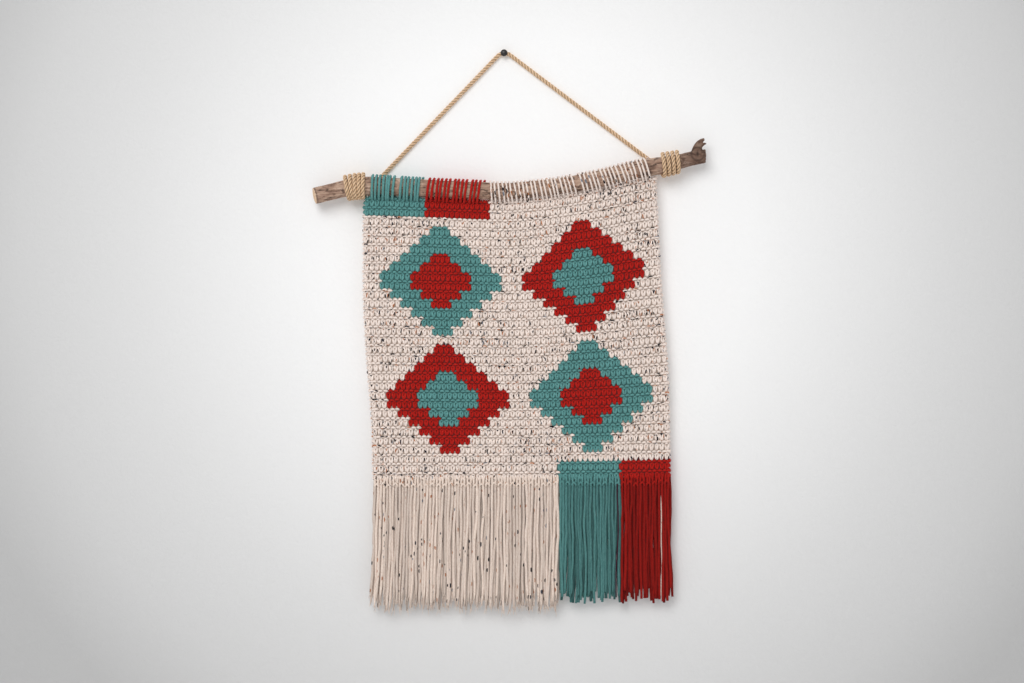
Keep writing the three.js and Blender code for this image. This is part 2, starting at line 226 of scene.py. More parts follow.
class Bundle:
    """Closed tubes of one piece, with coordinates along and around the yarn."""

    def __init__(self):
        self.co, self.loops, self.sizes = [], [], []
        self.yarn, self.cell, self.shade, self.paint = [], [], [], []
        self.points = self.tubes = 0

    def add(self, points, radius, sides, shade=1.0, up=(0, FRONT, 0), paint=0):
        tubes, rings = points.shape[:2]
        radius = np.asarray(radius, float)
        if radius.ndim < 3:
            radius = radius[..., None]
        radius = np.broadcast_to(radius, (tubes, rings, sides))
        normal, across = frames(points, up)[1:]
        turn = 2 * np.pi * np.arange(sides) / sides
        out = np.cos(turn)[:, None] * normal[:, :, None] + np.sin(turn)[:, None] * across[:, :, None]
        self.co.append((points[:, :, None] + radius[..., None] * out).reshape(-1, 3) * MM)
        shade = np.broadcast_to(np.asarray(shade, float)[..., None], (tubes, rings, sides))
        self.shade.append(shade.reshape(-1))
        self._faces(tubes, rings, sides, run_along(points), turn)
        self.paint.append(np.full(tubes * ((rings - 1) * sides + 2), paint))
        self.points += tubes * rings * sides
        self.tubes += tubes

    def _faces(self, tubes, rings, sides, along, turn):
        grid = self.points + np.arange(tubes * rings * sides).reshape(tubes, rings, sides)
        turned = np.roll(grid, -1, axis=2)
        quads = np.stack([grid[:, :-1], turned[:, :-1], turned[:, 1:], grid[:, 1:]], -1)
        run = (along + rng.uniform(0, YARN_RUN, (tubes, 1))) * MM
        ring = np.arange(rings) / (rings - 1)
        side = np.arange(sides) / sides
        around = np.stack([side, side + 1 / sides, side + 1 / sides, side], -1)
        run_at = np.stack([run[:, :-1], run[:, :-1], run[:, 1:], run[:, 1:]], -1)[:, :, None]
        ring_at = np.stack([ring[:-1], ring[:-1], ring[1:], ring[1:]], -1)[None, :, None]
        number = self.tubes + np.arange(tubes)
        inner = 1 - 2 * CELL_MARGIN
        self.loops.append(quads.reshape(-1))
        self.sizes.append(np.full(quads.size // 4, 4))
        self.yarn.append(np.stack([spread(run_at, quads.shape), spread(around, quads.shape)], -1))
        self.cell.append(np.stack([
            spread(number[:, None, None, None], quads.shape),
            spread(CELL_MARGIN + inner * ring_at, quads.shape),
            spread(CELL_MARGIN + inner * around, quads.shape),
        ], -1))
        for cap, end, corner in ((grid[:, 0, ::-1], run[:, :1], 0), (grid[:, -1], run[:, -1:], 1)):
            self.loops.append(cap.reshape(-1))
            self.sizes.append(np.full(tubes, sides))
            middle = 0.5 * CELL_MARGIN + corner * (1 - CELL_MARGIN)
            self.yarn.append(np.stack([spread(end, cap.shape), spread(side, cap.shape)], -1))
            self.cell.append(np.stack([
                spread(number[:, None], cap.shape),
                spread(middle + CAP_SHARE * CELL_MARGIN * np.cos(turn), cap.shape),
                spread(middle + CAP_SHARE * CELL_MARGIN * np.sin(turn), cap.shape),
            ], -1))

    def build(self, name, *materials):
        across = math.ceil(math.sqrt(self.tubes))
        cell = np.concatenate(self.cell)
        baked = (np.stack([cell[:, 0] % across, cell[:, 0] // across], -1) + cell[:, 1:]) / across
        piece = mesh_piece(
            name,
            np.concatenate(self.co),
            np.concatenate(self.loops),
            np.concatenate(self.sizes),
            materials,
            np.concatenate(self.paint),
        )
        for layer, uv in (("Yarn", np.concatenate(self.yarn)), ("OFBake", baked)):
            piece.data.uv_layers.new(name=layer).data.foreach_set("uv", uv.astype(np.float32).ravel())
        shade = piece.data.attributes.new("shade", "FLOAT", "POINT")
        shade.data.foreach_set("value", np.concatenate(self.shade).astype(np.float32))
        return piece


def mesh_piece(name, co, loops, sizes, materials, paint=None):
    """A smooth mesh from arrays, riding on the hanging's one body."""
    mesh = bpy.data.meshes.new(name)
    mesh.vertices.add(len(co))
    mesh.vertices.foreach_set("co", co.astype(np.float32).ravel())
    mesh.loops.add(len(loops))
    mesh.loops.foreach_set("vertex_index", loops.astype(np.int32))
    mesh.polygons.add(len(sizes))
    mesh.polygons.foreach_set("loop_start", (np.cumsum(sizes) - sizes).astype(np.int32))
    mesh.polygons.foreach_set("use_smooth", np.ones(len(sizes), bool))
    if paint is not None:
        mesh.polygons.foreach_set("material_index", paint.astype(np.int32))
    for material in materials:
        mesh.materials.append(material)
    mesh.update(calc_edges=True)
    piece = bpy.data.objects.new(name, mesh)
    bpy.context.collection.objects.link(piece)
    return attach(piece, "root")


# Materials
class Shader:
    """A material with one Principled shader and the nodes that feed it."""

    def __init__(self, name, **sockets):
        self.material = bpy.data.materials.new(name)
        self.material.use_nodes = True
        self.tree = self.material.node_tree
        self.surface = self.tree.nodes["Principled BSDF"]
        self.feed(self.surface, {key.replace("_", " "): value for key, value in sockets.items()})

    def feed(self, node, inputs):
        for key, value in inputs.items():
            if isinstance(value, bpy.types.NodeSocket):
                self.tree.links.new(value, node.inputs[key])
            else:
                node.inputs[key].default_value = value

    def node(self, kind, inputs=None, **settings):
        node = self.tree.nodes.new("ShaderNode" + kind)
        for key, value in settings.items():
            setattr(node, key, value)
        self.feed(node, inputs or {})
        return node

    def math(self, operation, *values):
        return self.node("Math", dict(enumerate(values)), operation=operation).outputs[0]

    def vector(self, x, y, z=0.0):
        return self.node("CombineXYZ", {"X": x, "Y": y, "Z": z}).outputs[0]

    def noise(self, vector, scale, detail=2.0, roughness=0.5):
        inputs = {"Vector": vector, "Scale": scale, "Detail": detail, "Roughness": roughness}
        return self.node("TexNoise", inputs).outputs["Fac"]

    def ramp(self, value, *stops, interpolation="LINEAR"):
        node = self.node("ValToRGB", {"Fac": value})
        node.color_ramp.interpolation = interpolation
        elements = node.color_ramp.elements
        while len(elements) < len(stops):
            elements.new(1.0)
        for element, (position, colour) in zip(elements, stops):
            element.position = position
            element.color = colour
        return node.outputs["Color"]

    def mix(self, share, a, b, blend="MIX"):
        node = self.node("Mix", data_type="RGBA", blend_type=blend)
        self.feed(node, {0: share, 6: a, 7: b})
        return node.outputs[2]

    def bump(self, height, strength, distance):
        inputs = {"Height": height, "Strength": strength, "Distance": distance}
        self.feed(self.surface, {"Normal": self.node("Bump", inputs).outputs[0]})

    def colour(self, socket):
        self.feed(self.surface, {"Base Color": socket})

    def yarn_place(self):
        """The coordinates along and around the yarn."""
        place = self.node("SeparateXYZ", {0: self.node("UVMap", uv_map="Yarn").outputs[0]})
        return place.outputs["X"], place.outputs["Y"]

    def shaded_colour(self, tone):
        # The shade attribute darkens the colour: painted shade in recesses, rope grooves and inner strands,
        # and a random tone per piece of yarn.
        shade = self.node("Attribute", attribute_name="shade").outputs["Fac"]
        self.colour(self.mix(1.0, tone, shade, "MULTIPLY"))


def rgb(code):
    """A colour code as linear red, green, blue and alpha."""
    parts = [int(code[i : i + 2], 16) / 255 for i in (1, 3, 5)]
    return (*(c / 12.92 if c <= 0.04045 else ((c + 0.055) / 1.055) ** 2.4 for c in parts), 1.0)


def grey(value):
    return (value, value, value, 1.0)


PLY_PITCH = 0.011
FIBRE_NOISE = (1.0, 3.0, 0.65)
YARN_FIBRES = (260.0, 9.0)
YARN_RELIEF = (0.6, 0.5)
YARN_BUMP = (0.55, 0.0006)
JUTE_FIBRES = (120.0, 16.0)
JUTE_PITCH = 0.02
JUTE_BUMP = (0.7, 0.0006)
DULL = 0.15
FLECK_RUN = 0.007
FLECK_AROUND = 2.5
FLECK_LEAST = 0.18
FLECK_SPREAD = 0.28
PANEL_FLECKS = (0.06, 0.5)
FRINGE_FLECKS = (0.02, 0.13)
FLECK_DRIFT = (11.0, 30.0)


def yarn_material(name, deep, main, light, flecks=None, crowding=PANEL_FLECKS):
    shader = Shader(name, Roughness=0.92, Specular_IOR_Level=DULL, Sheen_Weight=0.03, Sheen_Roughness=0.5)
    run, around = shader.yarn_place()
    turn = shader.math("MULTIPLY", run, 1 / PLY_PITCH)
    phase = shader.math("MULTIPLY", shader.math("ADD", around, turn), 2 * math.pi * LOBES)
    plies = shader.math("SINE", phase)
    fibre_at = shader.vector(
        shader.math("MULTIPLY", run, YARN_FIBRES[0]),
        shader.math("MULTIPLY", around, YARN_FIBRES[1]),
    )
    fibres = shader.noise(fibre_at, *FIBRE_NOISE)
    tone = shader.ramp(fibres, (0.25, rgb(deep)), (0.5, rgb(main)), (0.78, rgb(light)))
    if flecks:
        tone = with_flecks(shader, tone, run, around, flecks, crowding)
    shader.shaded_colour(tone)
    ply_height = shader.math("MULTIPLY", plies, YARN_RELIEF[1])
    shader.bump(shader.math("MULTIPLY_ADD", fibres, YARN_RELIEF[0], ply_height), *YARN_BUMP)
    return shader.material


def with_flecks(shader, tone, run, around, colours, crowding):
    """Short flecks of other colours along the yarn."""
    at = shader.vector(
        shader.math("MULTIPLY", run, 1 / FLECK_RUN),
        shader.math("MULTIPLY", around, FLECK_AROUND),
    )
    cells = shader.node("TexVoronoi", {"Vector": at, "Scale": 1.0}, voronoi_dimensions="2D")
    chance = shader.node("SeparateColor", {0: cells.outputs["Color"]})
    reach = shader.math("MULTIPLY_ADD", chance.outputs[2], FLECK_SPREAD, FLECK_LEAST)
    inside = shader.math("LESS_THAN", cells.outputs["Distance"], reach)
    coords = shader.node("SeparateXYZ", {0: shader.node("TexCoord").outputs["Object"]})
    drift = shader.vector(
        shader.math("MULTIPLY", coords.outputs["X"], FLECK_DRIFT[0]),
        0.0,
        shader.math("MULTIPLY", coords.outputs["Z"], FLECK_DRIFT[1]),
    )
    crowd = shader.node(
        "MapRange",
        {
            "Value": shader.noise(drift, 1.0, 1.0),
            "From Min": 0.3,
            "From Max": 0.7,
            "To Min": crowding[0],
            "To Max": crowding[1],
        },
    )
    here = shader.math("LESS_THAN", chance.outputs[0], crowd.outputs[0])
    stops = [(k / len(colours), rgb(code)) for k, code in enumerate(colours)]
    fleck = shader.ramp(chance.outputs[1], *stops, interpolation="CONSTANT")
    return shader.mix(shader.math("MULTIPLY", inside, here), tone, fleck)


def shade_sheet_material(name, tone):
    return Shader(name, Roughness=0.95, Base_Color=rgb(tone)).material


def jute_material():
    shader = Shader("jute", Roughness=0.9, Specular_IOR_Level=DULL)
    run, around = shader.yarn_place()
    slant = shader.math("ADD", around, shader.math("MULTIPLY", run, 1 / JUTE_PITCH))
    at = shader.vector(
        shader.math("MULTIPLY", run, JUTE_FIBRES[0]),
        shader.math("MULTIPLY", slant, JUTE_FIBRES[1]),
    )
    fibres = shader.noise(at, *FIBRE_NOISE)
    tone = shader.ramp(fibres, (0.25, rgb("#a27c58")), (0.45, rgb("#d9b48e")), (0.72, rgb("#f3dcc0")))
    shader.shaded_colour(tone)
    shader.bump(fibres, *JUTE_BUMP)
    return shader.material


GRAIN_STRETCH, GRAIN_NOISE = 0.16, (330.0, 4.0, 0.62)
BROAD_STRETCH, BROAD_NOISE = 0.5, (75.0, 3.0, 0.55)
SPOT_STRETCH, SPOT_NOISE = 0.6, (190.0, 2.0, 0.5)
GRAIN_SHARE = 0.55
BARK_BUMP = (0.7, 0.0009)
DARK_END = {"From Min": 0.195, "From Max": 0.245}
DARK_END_SHARE = 0.72
CUT_NOISE = (420.0, 3.0, 0.6)


def bark_material():
    shader = Shader("bark", Roughness=0.85, Specular_IOR_Level=0.25)
    coords = shader.node("TexCoord").outputs["Object"]
    place = shader.node("SeparateXYZ", {0: coords})
    x, y, z = (place.outputs[k] for k in "XYZ")
    grain = shader.noise(shader.vector(shader.math("MULTIPLY", x, GRAIN_STRETCH), y, z), *GRAIN_NOISE)
    broad = shader.noise(shader.vector(shader.math("MULTIPLY", x, BROAD_STRETCH), y, z), *BROAD_NOISE)
    spots = shader.noise(shader.vector(shader.math("MULTIPLY", x, SPOT_STRETCH), y, z), *SPOT_NOISE)
    tone = shader.ramp(
        shader.math("MULTIPLY_ADD", grain, GRAIN_SHARE, shader.math("MULTIPLY", broad, 1 - GRAIN_SHARE)),
        (0.32, rgb("#4f3c34")),
        (0.43, rgb("#8e7161")),
        (0.53, rgb("#b29582")),
        (0.68, rgb("#d6c0ad")),
    )
    spotted = shader.ramp(spots, (0.57, grey(0.0)), (0.68, grey(0.8)))
    tone = shader.mix(spotted, tone, rgb("#4a3830"))
    end = shader.node("MapRange", {"Value": x, **DARK_END})
    tone = shader.mix(shader.math("MULTIPLY", end.outputs[0], DARK_END_SHARE), tone, rgb("#553d33"))
    # The dark attribute holds dark cracks, knot pits and scar marks, and a painted shadow at the cut end's
    # bark lip.
    dark = shader.node("Attribute", attribute_name="dark").outputs["Fac"]
    shader.colour(shader.mix(dark, tone, rgb("#2b211d")))
    shader.bump(grain, *BARK_BUMP)
    return shader.material


def cut_wood_material():
    shader = Shader("cut_wood", Roughness=0.8)
    coords = shader.node("TexCoord").outputs["Object"]
    grain = shader.noise(coords, *CUT_NOISE)
    shader.colour(shader.ramp(grain, (0.3, rgb("#c49c78")), (0.6, rgb("#e6c8a8"))))
    return shader.material


def pin_material():
    return Shader("pin", Roughness=0.32, Base_Color=rgb("#1d191a")).material


TWEED = ("#14131a", "#14131a", "#2c2b34", "#b0724f", "#bb8768", "#ad7048", "#c09a82", "#6d7480")
CREAM = yarn_material("yarn_cream", "#d5c2b6", "#ecddd4", "#f6ece5", TWEED)
CREAM_FRINGE = yarn_material("yarn_cream_fringe", "#cfb9aa", "#e8d6c9", "#f4e7dc", TWEED, FRINGE_FLECKS)
TEAL = yarn_material("yarn_teal", "#467a79", "#5b908e", "#74a7a3")
RED = yarn_material("yarn_red", "#8a0f0b", "#ab1a13", "#bf2e24")
PLUM = yarn_material("yarn_plum", "#2c1220", "#3f1a2c", "#542a40")
YARNS = (CREAM, TEAL, RED)
YARN_NAMES = ("cream", "teal", "red")
CREAM_YARN, TEAL_YARN, RED_YARN = range(3)


# Camera, square on to the hanging
VIEW_WIDTH = 1331.2
VIEW_X = 10.4
VIEW_Z = -377.3
VIEW_DISTANCE = 2600.0
SENSOR_WIDTH = 36.0


def make_camera():
    data = bpy.data.cameras.new("camera")
    data.sensor_width = SENSOR_WIDTH
    data.lens = SENSOR_WIDTH * VIEW_DISTANCE / VIEW_WIDTH
    camera = bpy.data.objects.new("camera", data)
    camera.location = Vector((VIEW_X, HANG_Y - VIEW_DISTANCE, VIEW_Z)) * MM
    camera.rotation_euler = (math.pi / 2, 0, 0)
    bpy.context.collection.objects.link(camera)
    bpy.context.scene.camera = camera


# The branch's own frame
def branch_at(x):
    """Its centre, direction, way up and radius at x."""
    x = np.asarray(x, float)
    z = smooth(BRANCH, "x", x, "z")
    rise = (smooth(BRANCH, "x", x + 1, "z") - smooth(BRANCH, "x", x - 1, "z")) / 2
    flat = np.zeros_like(x)
    direction = unit(np.stack([flat + 1, flat, rise], -1))
    up = np.stack([-direction[..., 2], flat, direction[..., 0]], -1)
    return np.stack([x, flat + HANG_Y, z], -1), direction, up, smooth(BRANCH, "x", x, "radius")


def underside_z(x):
    centre, direction, _, radius = branch_at(x)
    return centre[..., 2] - radius * (1 + BARK_SWELL) / direction[..., 0]


def around_branch(x, angle, reach):
    """A point at that distance from the branch's middle; the angle runs from the top over the front."""
    centre, _, up, _ = branch_at(x)
    point = centre + up * (reach * np.cos(angle))[..., None]
    point[..., 1] += FRONT * reach * np.sin(angle)
    return point


# Rope
ROPE_STEP = 1.3
ROPE_LAY = 15.0
ROPE_SIDES = 8
STRAND_SHARE = 0.235
STRAND_OFFSET = 0.27
GROOVE_REACH = (0.6, 0.98)
GROOVE_SHADE = (0.3, 1.0)
COIL_STEPS = 48
COIL_GAP = 0.5
LEFT_END, LEFT_LEAD, LEFT_TURNS, LEFT_SLANT = -207.5, 2.4, 5, -3.4
RIGHT_END, RIGHT_LEAD, RIGHT_TURNS, RIGHT_SLANT = 228.5, 2.6, 4, -0.6
FREE_STEPS = 12
JOIN_STEPS = 8


def coil(start_x, end_x, turns, start_angle, way, slant):
    """Rope turns around the branch; way is 1 for turns that come down over the front."""
    t = np.linspace(0, turns, turns * COIL_STEPS + 1)
    angle = start_angle + way * 2 * np.pi * t
    x = lerp(start_x, end_x, t / turns) - slant * np.cos(angle) / 2 + slant * np.cos(start_angle) / 2
    reach = branch_at(x)[3] * (1 + BARK_SWELL) + COIL_GAP + ROPE_DIAMETER / 2
    return around_branch(x, angle, reach)


def angle_on_branch(point):
    centre, _, up, _ = branch_at(point[0])
    return math.atan2(FRONT * (point[1] - centre[1]), (point - centre) @ up)


def rope_line():
    first, last = ROPE_ROUTE[0], ROPE_ROUTE[-1]
    left = coil(LEFT_END, first[0] - LEFT_LEAD, LEFT_TURNS, angle_on_branch(first), 1, LEFT_SLANT)
    right = coil(last[0] + RIGHT_LEAD, RIGHT_END, RIGHT_TURNS, angle_on_branch(last), -1, RIGHT_SLANT)
    free = curve_through(ROPE_ROUTE[1:-1], FREE_STEPS)
    joined = np.concatenate([left[:-2:3], free[::6], right[2::3]])
    return evenly(curve_through(joined, JOIN_STEPS), ROPE_STEP)


def make_rope():
    line = rope_line()
    _, normal, across = frames(line[None], (0, BACK, 0))
    run = run_along(line[None])[0]
    bundle = Bundle()
    for k in range(3):
        angle = (2 * np.pi * (run / ROPE_LAY + k / 3))[:, None]
        offset = STRAND_OFFSET * ROPE_DIAMETER * (np.cos(angle) * normal[0] + np.sin(angle) * across[0])
        bundle.add((line + offset)[None], STRAND_SHARE * ROPE_DIAMETER, ROPE_SIDES, up=normal[0, 0])
        # Painted shade in the rope's grooves: strand points close to the rope's axis are darker.
        rings = bundle.co[-1].reshape(len(line), ROPE_SIDES, 3) / MM
        reach = np.linalg.norm(rings - line[:, None], axis=-1) / (ROPE_DIAMETER / 2)
        bundle.shade[-1] = np.interp(reach, GROOVE_REACH, GROOVE_SHADE).reshape(-1)
    rope = bundle.build("jute_rope", jute_material())
    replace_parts(rope, "hanger_cord", "wrap_left", "wrap_right")
    return rope


# The cloth's middle surface
def panel_x(u, v):
    return lerp(smooth(PANEL_SIDES, "v", v, "left"), smooth(PANEL_SIDES, "v", v, "right"), u)


def panel_z(u, v):
    top = underside_z(panel_x(u, np.ones_like(u))) - PANEL_TOP_GAP
    return lerp(lerp(PANEL_BOTTOM_LEFT_Z, PANEL_BOTTOM_RIGHT_Z, u), top, v)


def panel_y(u, v):
    wave = sum(
        depth * np.sin(2 * np.pi * (turns * u + phase + WAVE_LEAN * v))
        for depth, turns, phase in PANEL_WAVES
    )
    return HANG_Y + wave * (1 - v)


def cloth_point(s, r, height):
    """The point at stitch s and row r, that far off the cloth's middle; the front is negative."""
    s, r, height = np.broadcast_arrays(s, r, height)
    u, v = s / STITCHES, r / ROWS
    return np.stack([panel_x(u, v), panel_y(u, v) + height, panel_z(u, v)], -1)


# The chart: stepped diamonds in two colours, and a band of colour blocks along the top and the bottom
BAND_ROWS = 4
TOP_BLOCKS = (12.5, 25.0)
BOTTOM_BLOCKS = (36.25, 48.33)
DIAMOND_COLUMNS = (15.0, 43.0)
DIAMOND_ROWS = (18.0, 44.0)
DIAMOND_STEP = 2.0
DIAMOND_CORE = 3
DIAMOND_EDGE = 6


def chart(s, r):
    """The yarn of the stitch at s and r."""
    s, r = np.broadcast_arrays(s, r)
    yarn = np.full(s.shape, CREAM_YARN)
    for i, column in enumerate(DIAMOND_COLUMNS):
        for j, row in enumerate(DIAMOND_ROWS):
            steps = np.floor(abs(s - column) / DIAMOND_STEP) + np.floor(abs(r - row) / DIAMOND_STEP)
            edge, core = (TEAL_YARN, RED_YARN) if (i + j) % 2 else (RED_YARN, TEAL_YARN)
            yarn = np.where(steps < DIAMOND_EDGE, edge, yarn)
            yarn = np.where(steps < DIAMOND_CORE, core, yarn)
    top = np.where(s < TOP_BLOCKS[0], TEAL_YARN, np.where(s < TOP_BLOCKS[1], RED_YARN, CREAM_YARN))
    bottom = np.where(s > BOTTOM_BLOCKS[1], RED_YARN, np.where(s > BOTTOM_BLOCKS[0], TEAL_YARN, CREAM_YARN))
    yarn = np.where(r > ROWS - BAND_ROWS, top, yarn)
    return np.where(r < BAND_ROWS, bottom, yarn)


# Stitches: two-row repeats of a V with its foot between two bumps, a bar across the V's top, and a bump
LEG = table(
    "across up height radius",
    (0.45, -0.32, 0.60, 1.25),
    (0.85, -0.04, 1.30, 1.58),
    (1.30, 0.26, 1.60, 1.65),
    (1.75, 0.60, 1.48, 1.60),
    (2.05, 0.95, 0.80, 1.40),
)
BUMP = table(
    "across up height radius",
    (-2.7, 1.30, 0.60, 1.20),
    (-1.4, 1.44, 1.40, 1.58),
    (0.0, 1.49, 1.65, 1.68),
    (1.4, 1.44, 1.40, 1.58),
    (2.7, 1.30, 0.60, 1.20),
)
BAR = table(
    "across up height radius",
    (-2.2, 0.92, 0.70, 1.05),
    (0.0, 1.00, 1.75, 1.50),
    (2.2, 0.92, 0.70, 1.05),
)
LEAN = 0.3
LOOSE = {"across": 0.035, "up": 0.035, "height": 0.12, "radius": 0.05}
LEG_ROW = 0.5
BUMP_ROW = 1.5
BUMP_INSET = 0.32
FRONT_SIDES = 6
BACK_SIDES = 5
TONE_LOOSE = 0.04
# DEEP_SHADE, DEEP_HEIGHT and FULL_HEIGHT paint shade into the loops: parts that sit low near the cloth's
# middle get a darker colour.
DEEP_SHADE = 0.82
DEEP_HEIGHT = 0.4
FULL_HEIGHT = 1.35
EDGE_ARC = np.radians(np.linspace(-75, 75, 5))
EDGE_OUT = 1.5
EDGE_DEEP = 1.5
EDGE_RADIUS = 1.15
EDGE_INSET = 0.12
EDGE_SWELL = 0.35
EDGE_LOOSE = 0.15
EDGE_RISE = 0.3
EDGE_SIDES = 6


def add_loops(bundles, shape, s, r, tone_row, mirror, side, sides):
    """Adds one loop of that shape at each stitch s of row r, to the bundle of its yarn."""
    count = len(s)
    loose = {key: rng.normal(0, size, (count, 1)) for key, size in LOOSE.items()}
    lean = -side * LEAN * shape["up"]
    across = s[:, None] + (mirror * shape["across"] + lean) / STITCH_WIDTH + loose["across"]
    up = r + shape["up"] + loose["up"]
    height = shape["height"] + loose["height"]
    radius = shape["radius"] * (1 + loose["radius"])
    points = cloth_point(across, up, side * height)
    # Painted shade: loops that sit lower in the cloth are painted darker, with a random tone per loop on
    # top.
    depth = np.clip((height - DEEP_HEIGHT) / (FULL_HEIGHT - DEEP_HEIGHT), 0, 1)
    shade = lerp(DEEP_SHADE, 1.0, depth) * (1 + TONE_LOOSE * rng.normal(size=(count, 1)))
    yarn = chart(s, r + tone_row)
    for k in range(len(YARNS)):
        of_yarn = yarn == k
        if of_yarn.any():
            bundles[k].add(points[of_yarn], radius[of_yarn], sides, shade[of_yarn], (0, side, 0))


def add_face(bundles, side, rows, sides):
    """One face of the cloth: rows are the first rows of its two-row repeats."""
    middles = np.arange(STITCHES) + 0.5
    between = np.clip(np.arange(STITCHES + 1.0), BUMP_INSET, STITCHES - BUMP_INSET)
    for row in rows:
        if 0 <= row:
            for mirror in (-1, 1):
                add_loops(bundles, LEG, middles, row, LEG_ROW, mirror, side, sides)
            if side == FRONT:
                add_loops(bundles, BAR, middles, row, LEG_ROW, 1, side, sides - 1)
        if row + 2 <= ROWS:
            add_loops(bundles, BUMP, between, row, BUMP_ROW, 1, side, sides)


def add_edges(bundles):
    """The turns of the yarn at the cloth's two side edges."""
    rows = np.arange(ROWS)
    for s, outward in ((EDGE_INSET, -1), (STITCHES - EDGE_INSET, 1)):
        swell = 1 + EDGE_SWELL * (rows % 2)[:, None] + EDGE_LOOSE * rng.normal(size=(ROWS, 1))
        across = s + outward * EDGE_OUT * swell * np.cos(EDGE_ARC) / STITCH_WIDTH
        up = rows[:, None] + 0.5 + EDGE_RISE * np.sin(EDGE_ARC)
        points = cloth_point(across, up, EDGE_DEEP * np.sin(EDGE_ARC))
        yarn = chart(np.full(ROWS, s), rows + 0.5)
        for k in range(len(YARNS)):
            if (yarn == k).any():
                bundles[k].add(points[yarn == k], EDGE_RADIUS, EDGE_SIDES, up=(outward, 0, 0))


def make_stitches():
    upper, lower, back = ([Bundle() for _ in YARNS] for _ in range(3))
    teal, red = Bundle(), Bundle()
    for bundles in (upper, lower, back):
        bundles[TEAL_YARN], bundles[RED_YARN] = teal, red
    middle = ROWS // 4 * 2
    add_face(lower, FRONT, range(0, middle, 2), FRONT_SIDES)
    add_face(upper, FRONT, range(middle, ROWS, 2), FRONT_SIDES)
    add_face(back, BACK, range(-1, ROWS, 2), BACK_SIDES)
    add_edges(back)
    pieces = [
        upper[CREAM_YARN].build("stitches_cream_upper", CREAM),
        lower[CREAM_YARN].build("stitches_cream_lower", CREAM),
        back[CREAM_YARN].build("stitches_cream_back", CREAM),
        teal.build("stitches_teal", TEAL),
        red.build("stitches_red", RED),
    ]
    return pieces


GROUND_HALF = 1.3
GROUND_INSET = 0.3
# Darker copies of the cream, teal and red yarns for the sheet: painted shade in the gaps between loops.
GROUND_SHADE_TONES = ("#9c8c80", "#335c5a", "#5e1512")


def make_ground():
    """The thin closed sheet that the loops stand on; its dark copies of the yarns' colours are painted
    shade in the gaps between loops.
    """
    s = np.linspace(GROUND_INSET, STITCHES - GROUND_INSET, STITCHES + 1)
    r = np.linspace(GROUND_INSET, ROWS - GROUND_INSET, ROWS + 1)
    s_at, r_at = np.meshgrid(s, r)
    front = cloth_point(s_at, r_at, FRONT * GROUND_HALF).reshape(-1, 3)
    behind = cloth_point(s_at, r_at, BACK * GROUND_HALF).reshape(-1, 3)
    index = np.arange(s_at.size).reshape(s_at.shape)
    a, b, c, d = index[:-1, :-1], index[:-1, 1:], index[1:, 1:], index[1:, :-1]
    faces = np.stack([a, b, c, d], -1).reshape(-1, 4)
    rim = np.concatenate([index[0, :-1], index[:-1, -1], index[-1, :0:-1], index[:0:-1, 0]])
    after = np.roll(rim, -1)
    walls = np.stack([rim, rim + s_at.size, after + s_at.size, after], -1)
    quads = np.concatenate([faces, faces[:, ::-1] + s_at.size, walls])
    yarn = chart((s_at[:-1, :-1] + s_at[1:, 1:]) / 2, (r_at[:-1, :-1] + r_at[1:, 1:]) / 2).reshape(-1)
    paint = np.concatenate([yarn, yarn, np.zeros(len(walls), int)])
    co = np.concatenate([front, behind]) * MM
    tones = [shade_sheet_material(f"ground_{name}", tone) for name, tone in zip(YARN_NAMES, GROUND_SHADE_TONES)]
    ground = mesh_piece("cloth_ground", co, quads.reshape(-1), np.full(len(quads), 4), tones, paint)
    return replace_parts(ground, "panel")


# Lashing
LASH_STEPS = 24
LASH_UNEVEN = 0.8
LASH_DIP = 4.2
LASH_DIP_SHARPNESS = 5
PLY_TURN = 13.0
PLY_DEPTH = 0.13
PLY_SIDES = 9
LASHINGS = (
    (TEAL_YARN, -169.6, -106.0, 13, -1.6, 6, 6.0, 1.7),
    (RED_YARN, -96.0, -25.0, 13, -3.6, 9, 1.0, 1.6),
    (CREAM_YARN, -19.0, 189.0, 38, 4.0, 20, 5.0, 1.25),
)


def lashing_line(start, end, turns, slant, gap_after, gap, radius):
    """The yarn's turns around the branch, each dipping through the cloth's top row."""
    k = np.arange(turns + 1)
    top = lerp(start, end - gap, k / turns) + gap * (k > gap_after) + LASH_UNEVEN * scatter(k + start)
    low = top[:-1] + slant + LASH_UNEVEN * scatter(3 * k[:-1] + end)
    stations = np.append(np.stack([top[:-1], low], -1).reshape(-1), top[-1])
    t = np.linspace(0, turns, turns * LASH_STEPS + 1)
    x = np.interp(2 * t, np.arange(2 * turns + 1), stations)
    angle = 2 * np.pi * t
    dip = LASH_DIP * np.maximum(0, -np.cos(angle)) ** LASH_DIP_SHARPNESS
    reach = branch_at(x)[3] * (1 + BARK_SWELL) + radius + dip
    return around_branch(x, angle, reach)


def make_lashings():
    pieces = []
    for yarn, *turns in LASHINGS:
        points = lashing_line(*turns)[None]
        thick = np.full(points.shape[:2], turns[-1])
        radius = lobed(thick, run_along(points), PLY_SIDES, PLY_TURN, PLY_DEPTH)
        bundle = Bundle()
        bundle.add(points, radius, PLY_SIDES, up=(0, 0, 1))
        name = YARN_NAMES[yarn]
        piece = bundle.build(f"lashing_yarn_{name}", YARNS[yarn])
        pieces.append(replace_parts(piece, f"lashing_{name}"))
    return pieces


